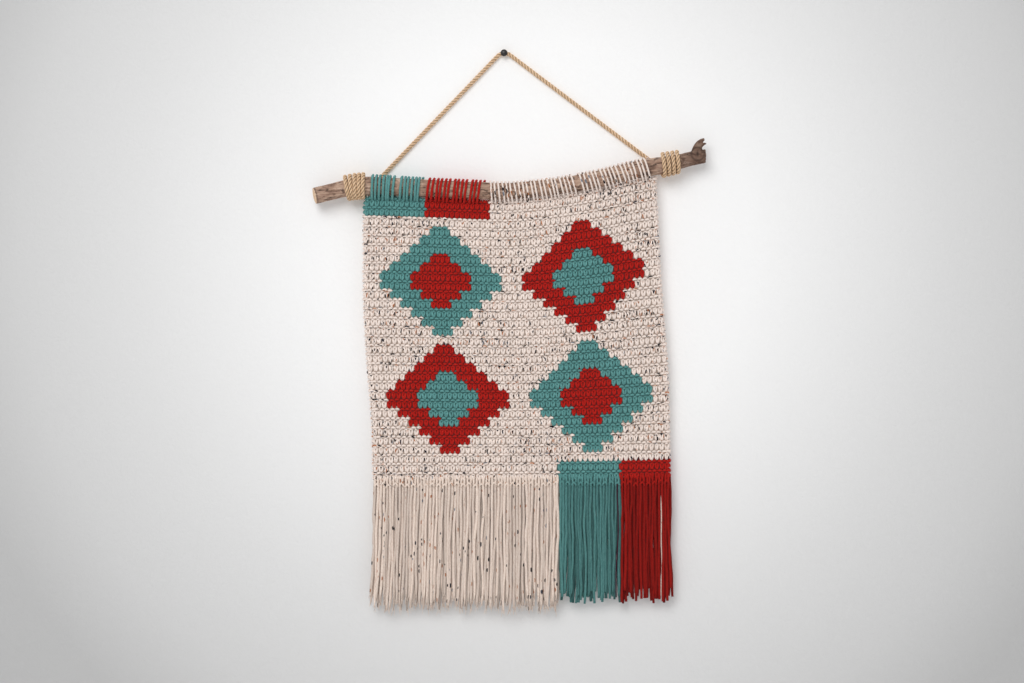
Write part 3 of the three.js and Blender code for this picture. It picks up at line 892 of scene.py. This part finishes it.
# Fringe
KNOTS = 48
STRAND_RADIUS = 1.8
STRAND_RINGS = 22
STRAND_ROOT = -1.0
STRAND_DRIFT = 1.4
DRIFT_CURVE = 1.3
FREE_FROM = 0.25
SWAY, SWAY_TURNS = (0.3, 1.5), (0.6, 1.6)
RIPPLE, RIPPLE_TURNS = (0.1, 0.4), (2.5, 5.0)
DEPTH_WAVE, DEPTH_TURNS = (0.2, 0.8), (0.5, 1.5)
DEPTH_LEFT = (0.4, 1.2)
THICK_LOOSE = 0.06
TIP_START = 0.93
BLUNT_TIP = 0.12
FINE_TIP = 0.65
STRANDS = table(
    "across depth",
    (-2.0, -1.7),
    (2.0, -1.5),
    (0.0, 0.9),
    (4.0, 0.9),
    (-2.0, 2.1),
    (2.0, 2.1),
)
STRAND_DEEP = 0.5
CREAM_CONTRAST = 0.85
FLARE_LEFT = -5.0
FLARE_RIGHT = 1.5
KNOT_BAR = table(
    "across up depth",
    (-2.4, -10.4, -1.3),
    (-2.3, -7.4, -3.0),
    (0.0, -4.8, -4.2),
    (2.3, -7.4, -3.0),
    (2.4, -10.4, -1.3),
)
KNOT_SIDE = table(
    "across up depth",
    (1.6, 4.0, -0.8),
    (1.9, 2.2, -2.6),
    (2.1, -1.0, -3.3),
    (2.0, -4.4, -3.4),
    (1.8, -7.4, -2.0),
)
KNOT_RADIUS = 1.5
KNOT_SIDE_RADIUS = 1.35
KNOT_BAR_SIDES = 8
KNOT_SIDE_SIDES = 7
KNOT_LOOSE = 0.35
KNOT_UNEVEN = 1.3
# The last column, tone, paints the teal and red fringes darker than the same yarn in the cloth: painted
# shade among the dense strands.
FRINGES = (
    (CREAM_YARN, CREAM_FRINGE, 0, 30, -719.0, 9.0, 1.0),
    (TEAL_YARN, TEAL, 30, 40, -709.0, 10.0, 0.78),
    (RED_YARN, RED, 40, 48, -708.0, 10.0, 0.68),
)
ODD_STRANDS = {TEAL_YARN: (0.822, -4.8, PLUM), RED_YARN: (0.972, -2.0, CREAM_FRINGE)}
ODD_RADIUS = 0.8
ODD_SHADE = 0.85
# Random tones of the strands; the middle layer's darker range is painted shade between the front and back
# strands.
OUTER_TONES = (0.72, 1.0)
INNER_SHADE_TONES = (0.4, 0.64)
INNER_DEPTH = 1.2
FRAY_PLIES = 3
FRAY_RADIUS = 0.5
FRAY_RINGS = 6
FRAY_LENGTH = 14.0
FRAY_LENGTHS = (0.5, 1.15)
FRAY_SPREAD = 6.0
FRAY_SPREADS = (0.1, 0.5)
FRAY_CURL = 1.6
FRAY_APART = 0.5
FRAY_FLAT = 0.5
FRAY_TAPER = 0.65
FRAY_SIDES = 5


def knot_root(u):
    """Where a knot sits on the cloth's bottom edge, a little higher or lower than the next."""
    root = cloth_point(u * STITCHES, np.zeros_like(u), 0.0)
    root[:, 2] += KNOT_UNEVEN * scatter(np.round(2 * KNOTS * u))
    return root


def knot_points(shape, u, mirror=1.0):
    points = np.repeat(knot_root(u)[:, None], len(shape["up"]), 1)
    points[..., 0] += mirror * shape["across"]
    points[..., 1] += shape["depth"]
    points[..., 2] += shape["up"]
    return points + rng.normal(0, KNOT_LOOSE, (len(u), 1, 3))


def strand_points(u, across, depth, tip_z):
    """Slightly waving strands from their knots down to their tips."""
    count = len(u)
    t = np.linspace(0, 1, STRAND_RINGS)
    root = knot_root(u)

    def draw(low, high):
        return rng.uniform(low, high, (count, 1))

    def waving(sizes, turns):
        return draw(*sizes) * np.sin(2 * np.pi * (draw(*turns) * t + draw(0, 1)))

    sway = waving(SWAY, SWAY_TURNS)
    ripple = waving(RIPPLE, RIPPLE_TURNS)
    drift = lerp(FLARE_LEFT, FLARE_RIGHT, u)[:, None] + rng.normal(0, STRAND_DRIFT, (count, 1))
    held = np.minimum(1, t / FREE_FROM)
    x = root[:, :1] + across + drift * t**DRIFT_CURVE + (sway + ripple) * held
    z = lerp(root[:, 2:] - STRAND_ROOT, tip_z[:, None], t)
    wave = waving(DEPTH_WAVE, DEPTH_TURNS) * held
    y = root[:, 1:2] + depth * lerp(1.0, draw(*DEPTH_LEFT), t) + wave
    return np.stack([x, y, z], -1)


def add_strands(bundle, yarn, u, tip_z, uneven, tone):
    t = np.linspace(0, 1, STRAND_RINGS)
    blunt = yarn != CREAM_YARN
    for across, depth in zip(STRANDS["across"], STRANDS["depth"]):
        tips = tip_z + uneven * rng.uniform(-1, 1, len(u))
        deep = depth + rng.normal(0, STRAND_DEEP, (len(u), 1))
        points = strand_points(u, across, deep, tips)
        thick = STRAND_RADIUS * (1 + rng.normal(0, THICK_LOOSE, (len(u), 1)))
        near_tip = np.maximum(0, t - TIP_START) / (1 - TIP_START)
        taper = 1 - near_tip * (BLUNT_TIP if blunt else FINE_TIP)
        radius = lobed(thick * taper, run_along(points), PLY_SIDES, PLY_TURN, PLY_DEPTH)
        # Strands of the middle layer, between the front and back strands, are painted darker: painted
        # shade, with a random tone per strand.
        tones = INNER_SHADE_TONES if abs(depth) < INNER_DEPTH else OUTER_TONES
        shade = np.broadcast_to(rng.uniform(*tones, (len(u), 1)), points.shape[:2])
        if not blunt:
            shade = shade**CREAM_CONTRAST
        bundle.add(points, radius, PLY_SIDES, tone * shade)
        if not blunt:
            add_fray(bundle, points)


def add_fray(bundle, strands):
    """Loose plies at the strands' tips."""
    count = len(strands)
    t = np.linspace(0, 1, FRAY_RINGS)
    for _ in range(FRAY_PLIES):
        start = strands[:, -2:-1]
        way = unit(strands[:, -1:] - start)
        length = FRAY_LENGTH * rng.uniform(*FRAY_LENGTHS, (count, 1, 1))
        points = start + way * length * t[:, None]
        angle = rng.uniform(0, 2 * np.pi, (count, 1))
        reach = FRAY_SPREAD * rng.uniform(*FRAY_SPREADS, (count, 1)) * t**FRAY_CURL + FRAY_APART
        points[..., 0] += reach * np.cos(angle)
        points[..., 1] += FRAY_FLAT * reach * np.sin(angle)
        bundle.add(points, FRAY_RADIUS * (1 - FRAY_TAPER * t), FRAY_SIDES)


def make_fringes():
    pieces = []
    for yarn, material, first, last, tip_z, uneven, tone in FRINGES:
        u = (np.arange(first, last) + 0.5) / KNOTS
        bundle = Bundle()
        # The knots take half of the fringe's painted shade.
        knot_shade = (1 + tone) / 2
        bundle.add(knot_points(KNOT_BAR, u), KNOT_RADIUS, KNOT_BAR_SIDES, knot_shade)
        for mirror in (-1.0, 1.0):
            points = knot_points(KNOT_SIDE, u, mirror)
            bundle.add(points, KNOT_SIDE_RADIUS, KNOT_SIDE_SIDES, knot_shade, (1, 0, 0))
        add_strands(bundle, yarn, u, tip_z, uneven, tone)
        materials = [material]
        if yarn in ODD_STRANDS:
            odd_u, odd_depth, odd_material = ODD_STRANDS[yarn]
            odd = strand_points(np.array([odd_u]), 0.0, odd_depth, np.array([tip_z]))
            bundle.add(odd[:, 1:], ODD_RADIUS, PLY_SIDES, ODD_SHADE, paint=1)
            materials.append(odd_material)
        name = YARN_NAMES[yarn]
        piece = bundle.build(f"fringe_yarn_{name}", *materials)
        pieces.append(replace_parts(piece, f"fringe_{name}"))
    return pieces


# Branch
BARK_VOXEL = 0.92
TRUNK_RINGS = 240
TRUNK_SIDES = 48
STUB_STEPS = 6
STUB_SIDES = 28
BARK_WAVES = ((0.6, 3, 25.0), (0.4, 2, -40.0))
BARK_LAYERS = ((0.05, 0.55), (0.14, 0.40), (0.36, 0.22))
BARK_RADIUS = 10
BARK_ALONG = 0.4
BARK_ACROSS = 2
SEAM_ALONG, SEAM_ACROSS, SEAM_SHIFT = 0.022, 0.42, 7.0
BREAK_ALONG, BREAK_ACROSS, BREAK_SHIFT = 0.09, 0.2, 3.0
BREAK_LEAST, BREAK_GAIN = 0.4, 2
CRACK_DEPTH = 0.8
CRACK_WIDTH = 0.10
PIT_DEPTH, PIT_WIDTH = 1.3, 0.4
PIT_DARK, PIT_DARK_WIDTH = 0.9, 0.55
CUT_REACH = 0.9
CUT_FACING = 0.75
LIP_WIDTH = 1.2
LIP_SHADOW = 0.7
BARK_KNOTS = table(
    "x angle size height",
    (-229.0, 75.0, 3.2, 0.7),
    (-213.0, 40.0, 2.2, 0.5),
    (-176.0, 35.0, 2.6, 0.6),
    (-88.0, 60.0, 3.0, 0.8),
    (-22.0, 95.0, 2.6, 0.5),
    (62.0, 70.0, 3.4, 0.8),
    (103.0, 35.0, 2.2, 0.6),
    (141.0, 100.0, 3.0, 0.6),
    (167.0, 55.0, 2.6, 0.6),
    (196.0, 80.0, 2.2, 0.5),
    (238.0, 50.0, 2.6, 0.7),
    (20.0, 215.0, 3.2, 0.8),
    (-120.0, 250.0, 3.4, 0.8),
    (120.0, 280.0, 3.0, 0.7),
)
SCAR_X = 251.0
SCAR_Z = -134.0
SCAR_RADIUS = 8.5
SCAR_WIDTH = 1.3
SCAR_DARK = 0.6
SLIT_WIDTH = 1.5
SLIT_HEIGHT = 4.0
SLIT_DARK = 0.9


def trunk_bundle(bundle):
    t = np.linspace(0, 1, TRUNK_RINGS)
    x = lerp(BRANCH["x"][0], BRANCH["x"][-1], t)
    centre, direction, up, radius = branch_at(x)
    angle = 2 * np.pi * np.arange(TRUNK_SIDES) / TRUNK_SIDES
    swell = sum(share * np.sin(n * angle + rate * t[:, None]) for share, n, rate in BARK_WAVES)
    bundle.add(centre[None], (radius[:, None] * (1 + BARK_SWELL * swell))[None], TRUNK_SIDES, up=up[0])
    ring = bundle.co[-1].reshape(TRUNK_RINGS, TRUNK_SIDES, 3)
    ring[0] -= CUT_TURN * (ring[0][:, 1:2] - HANG_Y * MM) * direction[0]
    ring[-1] += (BRANCH["x"][-1] * MM - ring[-1][:, :1]) * direction[-1]


def stub_bundle(bundle):
    stations = np.stack([STUB["x"], np.full(len(STUB["x"]), HANG_Y), STUB["z"]], -1)
    line = curve_through(stations, STUB_STEPS)
    radius = np.interp(np.linspace(0, 1, len(line)), np.linspace(0, 1, len(stations)), STUB["radius"])
    bundle.add(line[None], radius[None], STUB_SIDES, up=(0, BACK, 0))
    ring = bundle.co[-1].reshape(len(line), STUB_SIDES, 3)
    way = unit(line[-1] - line[-2])
    angle = 2 * np.pi * np.arange(STUB_SIDES) / STUB_SIDES
    ring[-1] += STUB_JAG * MM * np.sin(STUB_TEETH * angle)[:, None] * way


def notched(co):
    """The points, with those at the stub's broken end pushed in along a groove from front to back."""
    tip = np.array([STUB["x"][-1], HANG_Y, STUB["z"][-1]])
    before = np.array([STUB["x"][-2], HANG_Y, STUB["z"][-2]])
    way = unit(tip - before)
    off = co / MM - tip
    aside = off @ np.array([-way[2], 0.0, way[0]]) - NOTCH_ASIDE
    near = np.clip(1 + (off @ way) / NOTCH_REACH, 0, 1) * (np.abs(aside) < NOTCH_REACH)
    return co - STUB_NOTCH * MM * (near * np.exp(-((aside / NOTCH_WIDTH) ** 2)))[:, None] * way


def roughen(co, off_cut):
    """How far the bark stands out of each point, in metres, and how dark it is there: dark cracks, knot
    pits and scar marks, and a painted shadow along the cut end's bark lip.
    """
    centre, _, up, radius = branch_at(np.clip(co[:, 0] / MM, BRANCH["x"][0], BRANCH["x"][-1]))
    off = co / MM - centre
    x, angle = co[:, 0] / MM, np.arctan2(FRONT * off[:, 1], (off * up).sum(-1))
    out, dark = np.zeros(len(co)), np.zeros(len(co))
    for n, (at, a) in enumerate(zip(x, angle)):
        side, top = BARK_RADIUS * math.sin(a), BARK_RADIUS * math.cos(a)
        out[n] = sum(
            depth * noise.noise((
                at * fine * BARK_ALONG,
                top * fine * BARK_ACROSS,
                side * fine * BARK_ACROSS,
            ))
            for fine, depth in BARK_LAYERS
        )
        seam = noise.noise((at * SEAM_ALONG, top * SEAM_ACROSS, side * SEAM_ACROSS + SEAM_SHIFT))
        broken = noise.noise((at * BREAK_ALONG, top * BREAK_ACROSS + BREAK_SHIFT, side * BREAK_ACROSS))
        whole = max(0.0, min(1.0, BREAK_LEAST + BREAK_GAIN * broken))
        dark[n] = max(0.0, 1 - abs(seam) / CRACK_WIDTH) * whole
    out -= CRACK_DEPTH * dark
    for knot_x, knot_angle, size, height in zip(*BARK_KNOTS.values()):
        turn = np.angle(np.exp(1j * (angle - math.radians(knot_angle))))
        away = np.hypot(x - knot_x, radius * turn) / size
        out += height * (np.exp(-(away**2)) - PIT_DEPTH * np.exp(-((away / PIT_WIDTH) ** 2)))
        dark = np.maximum(dark, PIT_DARK * np.exp(-((away / PIT_DARK_WIDTH) ** 2)))
    scar = np.hypot(x - SCAR_X, co[:, 2] / MM - SCAR_Z) - SCAR_RADIUS
    in_front = off[:, 1] < 0
    dark = np.maximum(dark, SCAR_DARK * np.exp(-((scar / SCAR_WIDTH) ** 2)) * in_front)
    slit = np.hypot((x - SCAR_X) / SLIT_WIDTH, (co[:, 2] / MM - SCAR_Z) / SLIT_HEIGHT)
    dark = np.maximum(dark, SLIT_DARK * np.exp(-(slit**2)) * in_front)
    # Painted shadow: a dark band on the bark along the cut end, under the overhanging bark lip.
    lip = np.exp(-(((off_cut - LIP_WIDTH) / LIP_WIDTH) ** 2))
    return out * MM, np.maximum(dark, LIP_SHADOW * lip)


def make_branch():
    bundle = Bundle()
    trunk_bundle(bundle)
    stub_bundle(bundle)
    form = bundle.build("branch_form")
    remesh = form.modifiers.new("fuse", "REMESH")
    remesh.mode = "VOXEL"
    remesh.voxel_size = BARK_VOXEL * MM
    fused = form.evaluated_get(bpy.context.evaluated_depsgraph_get())
    mesh = bpy.data.meshes.new_from_object(fused)
    bpy.data.objects.remove(form)
    co = np.empty(len(mesh.vertices) * 3, np.float32)
    normals = np.empty_like(co)
    mesh.vertices.foreach_get("co", co)
    mesh.vertices.foreach_get("normal", normals)
    co, normals = co.reshape(-1, 3).astype(float), normals.reshape(-1, 3)
    corner = branch_at(BRANCH["x"][0])
    cut_way = unit(corner[1] + CUT_TURN * np.array([0.0, 1.0, 0.0]))
    off_cut = (co / MM - corner[0]) @ cut_way
    rough, dark = roughen(co, off_cut)
    on_bark = off_cut > CUT_REACH
    co = notched(co + normals * (rough * on_bark)[:, None])
    mesh.vertices.foreach_set("co", co.astype(np.float32).ravel())
    darkness = mesh.attributes.new("dark", "FLOAT", "POINT")
    darkness.data.foreach_set("value", (dark * on_bark).astype(np.float32))
    mesh.name = "driftwood_branch"
    mesh.materials.clear()
    mesh.materials.append(bark_material())
    mesh.materials.append(cut_wood_material())
    for face in mesh.polygons:
        face.use_smooth = True
        middle = np.array(face.center) / MM
        facing = -float(np.array(face.normal) @ cut_way)
        if (middle - corner[0]) @ cut_way < CUT_REACH and facing > CUT_FACING:
            face.material_index = 1
    mesh.update()
    branch = bpy.data.objects.new("driftwood_branch", mesh)
    bpy.context.collection.objects.link(branch)
    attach(branch, "root")
    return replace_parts(branch, "branch")


# Pin
PIN_SIDES = 40
PIN_PROFILE = table(
    "radius y",
    (0.05, 0.0),
    (1.2, 0.0),
    (1.2, -6.2),
    (3.6, -6.3),
    (4.3, -6.5),
    (4.6, -7.1),
    (4.5, -7.9),
    (4.0, -8.9),
    (3.1, -9.7),
    (1.9, -10.2),
    (0.8, -10.38),
    (0.05, -10.4),
)


def make_pin():
    axis = np.zeros(len(PIN_PROFILE["y"]))
    line = np.stack([axis, PIN_PROFILE["y"], axis], -1)
    turn = 2 * np.pi * np.arange(PIN_SIDES) / PIN_SIDES
    ring = np.stack([np.cos(turn), np.zeros(PIN_SIDES), np.sin(turn)], -1)
    co = (line[:, None] + PIN_PROFILE["radius"][:, None, None] * ring).reshape(-1, 3) * MM
    grid = np.arange(len(co)).reshape(len(line), PIN_SIDES)
    turned = np.roll(grid, -1, axis=1)
    quads = np.stack([grid[:-1], turned[:-1], turned[1:], grid[1:]], -1).reshape(-1)
    loops = np.concatenate([quads, grid[0, ::-1], grid[-1]])
    sizes = np.array([4] * (len(quads) // 4) + [PIN_SIDES] * 2)
    pin = mesh_piece("wall_pin_head", co, loops, sizes, [pin_material()])
    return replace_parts(pin, "wall_pin")


# Wall, floor and light
WALL_SIZE = 6.0
WALL_Y = 0.0008
FLOOR_Z = -1.05
# The wall's colour by distance from a centre point: a painted pool of light that fades to grey towards the
# edges.
WALL_LIGHT_CENTRE = (0.045, 0.0, -0.26)
WALL_PAINTED_FALLOFF = ((0.0, 0.93), (0.277, 0.87), (0.53, 0.67), (0.68, 0.575), (0.80, 0.46), (1.2, 0.40))
PLASTER_NOISE = (190.0, 2.0)
PLASTER_BUMP = (0.45, 0.001)
FLOOR_TONE = 0.8
KEY_PLACE = (-0.95, -3.4, 1.45)
KEY_AIM = (0.0, 0.0, -0.35)
KEY_SIZE = 2.5
KEY_POWER = 80.0
BACK_PLACE = (0.6, 1.6, 0.4)
BACK_SIZE = 1.2
BACK_POWER = 22.0
SKY_STRENGTH = 0.6


def plane(name, corners, material):
    mesh = bpy.data.meshes.new(name)
    mesh.from_pydata(corners, [], [(0, 1, 2, 3)])
    mesh.materials.append(material)
    piece = bpy.data.objects.new(name, mesh)
    bpy.context.collection.objects.link(piece)


def wall_material():
    """Plaster seen from the front, painted near white in the middle and greyer further out: a painted pool
    of light. From behind it is clear, and light passes.
    """
    shader = Shader("plaster", Roughness=0.95)
    coords = shader.node("TexCoord").outputs["Object"]
    # Painted light: the plaster's colour falls from near white at the middle to grey further out.
    away = shader.node("VectorMath", {0: coords, 1: WALL_LIGHT_CENTRE}, operation="DISTANCE").outputs["Value"]
    reach = WALL_PAINTED_FALLOFF[-1][0]
    tones = [(distance / reach, grey(tone)) for distance, tone in WALL_PAINTED_FALLOFF]
    shader.colour(shader.ramp(shader.math("DIVIDE", away, reach), *tones))
    shader.bump(shader.noise(coords, *PLASTER_NOISE), *PLASTER_BUMP)
    behind = shader.node("NewGeometry").outputs["Backfacing"]
    passing = shader.node("LightPath").outputs["Is Shadow Ray"]
    clear = shader.node("BsdfTransparent").outputs[0]
    share = shader.math("MAXIMUM", behind, passing)
    mixed = shader.node("MixShader", {0: share, 1: shader.surface.outputs[0], 2: clear})
    output = shader.tree.nodes["Material Output"]
    shader.tree.links.new(mixed.outputs[0], output.inputs["Surface"])
    return shader.material


def area_light(name, place, aim, size, power):
    data = bpy.data.lights.new(name, "AREA")
    data.shape = "DISK"
    data.size = size
    data.energy = power
    light = bpy.data.objects.new(name, data)
    light.location = place
    light.rotation_euler = (Vector(aim) - Vector(place)).to_track_quat("-Z", "Y").to_euler()
    light.visible_camera = False
    bpy.context.collection.objects.link(light)


def make_stage():
    half = WALL_SIZE / 2
    wall = [(-half, WALL_Y, FLOOR_Z), (half, WALL_Y, FLOOR_Z), (half, WALL_Y, half), (-half, WALL_Y, half)]
    floor = [(-half, -half, FLOOR_Z), (half, -half, FLOOR_Z), (half, half, FLOOR_Z), (-half, half, FLOOR_Z)]
    plane("wall", wall, wall_material())
    plane("floor", floor, Shader("pale_floor", Roughness=0.9, Base_Color=grey(FLOOR_TONE)).material)
    area_light("key", KEY_PLACE, KEY_AIM, KEY_SIZE, KEY_POWER)
    area_light("behind", BACK_PLACE, KEY_AIM, BACK_SIZE, BACK_POWER)
    world = bpy.data.worlds.new("sky")
    world.use_nodes = True
    world.node_tree.nodes["Background"].inputs["Color"].default_value = grey(1.0)
    world.node_tree.nodes["Background"].inputs["Strength"].default_value = SKY_STRENGTH
    bpy.context.scene.world = world
    bpy.context.scene.view_settings.view_transform = "Standard"


make_camera()
make_rope()
ground = make_ground()
on_cloth = make_stitches() + make_lashings() + make_fringes()
make_branch()
make_pin()
make_stage()
